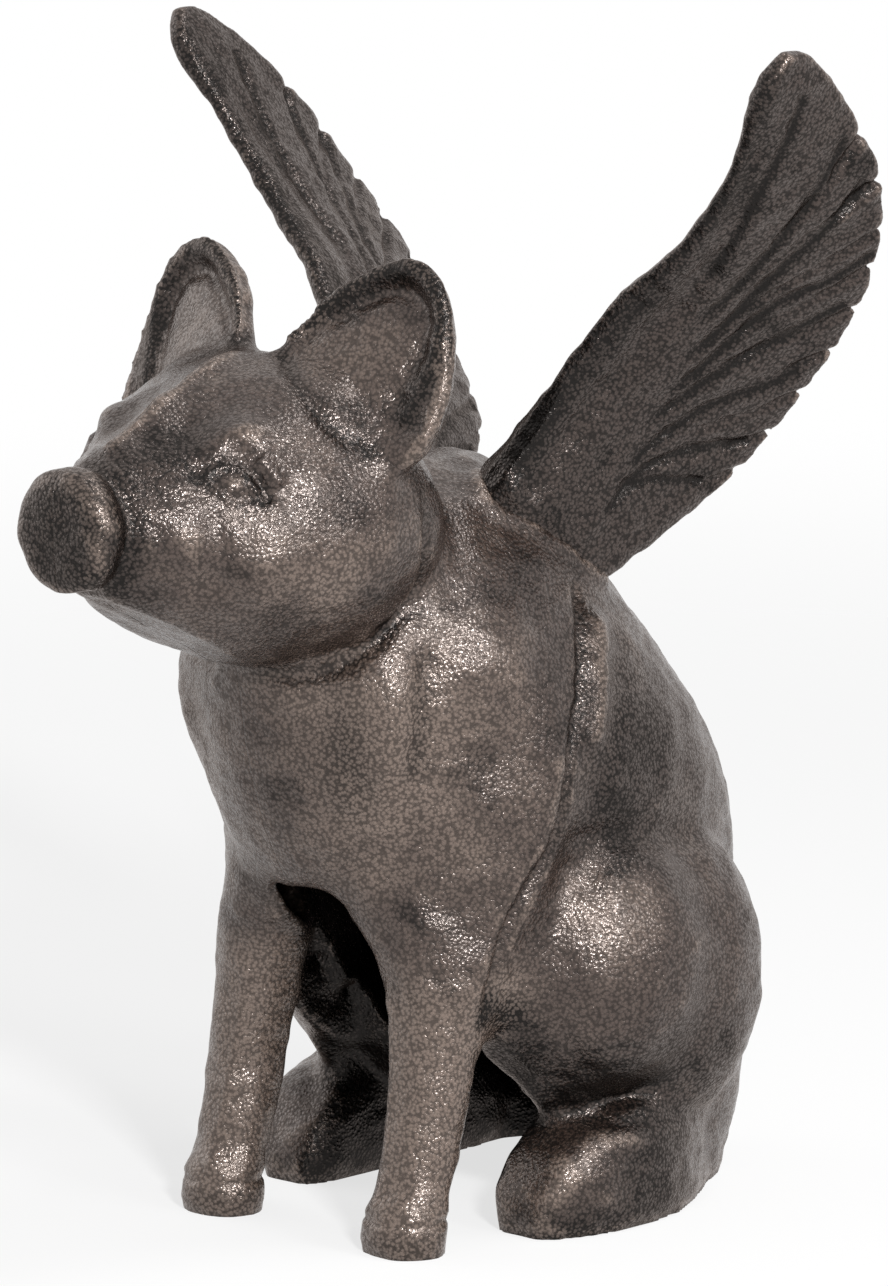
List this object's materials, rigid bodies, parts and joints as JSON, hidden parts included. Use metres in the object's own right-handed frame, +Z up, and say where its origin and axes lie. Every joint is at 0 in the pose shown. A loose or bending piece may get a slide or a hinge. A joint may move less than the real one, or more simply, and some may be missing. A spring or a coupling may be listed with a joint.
{
  "type": "doorstop",
  "caption": "Sitting winged pig doorstop: hollow cast-iron halves screwed together, open below, with raised wings screwed to the shoulders; stands on the floor and holds a door by its weight.",
  "frame": {"origin": "on the floor, under the middle of the bounding box", "axes": "+Z up; the pig looks along -Y; X runs across, with the parting plane of the halves at X = 0"},
  "size_m": [0.1646, 0.1754, 0.2292],
  "materials": {
    "iron_body": "sand-cast, pebbly, dark brown-black semi-gloss coat",
    "iron_wing": "sand-cast, pebbly, near-black semi-gloss coat",
    "screw_steel": "darkened to match the castings"
  },
  "bodies": {
    "root": {"left_body_casting": "iron_body", "right_body_casting": "iron_body", "left_wing": "iron_wing", "right_wing": "iron_wing", "left_wing_screw_fore": "screw_steel", "left_wing_washer_fore": "screw_steel", "left_wing_screw_aft": "screw_steel", "left_wing_washer_aft": "screw_steel", "right_wing_screw_fore": "screw_steel", "right_wing_washer_fore": "screw_steel", "right_wing_screw_aft": "screw_steel", "right_wing_washer_aft": "screw_steel", "shoulder_screw": "screw_steel", "rump_screw": "screw_steel"}
  },
  "joints": []
}
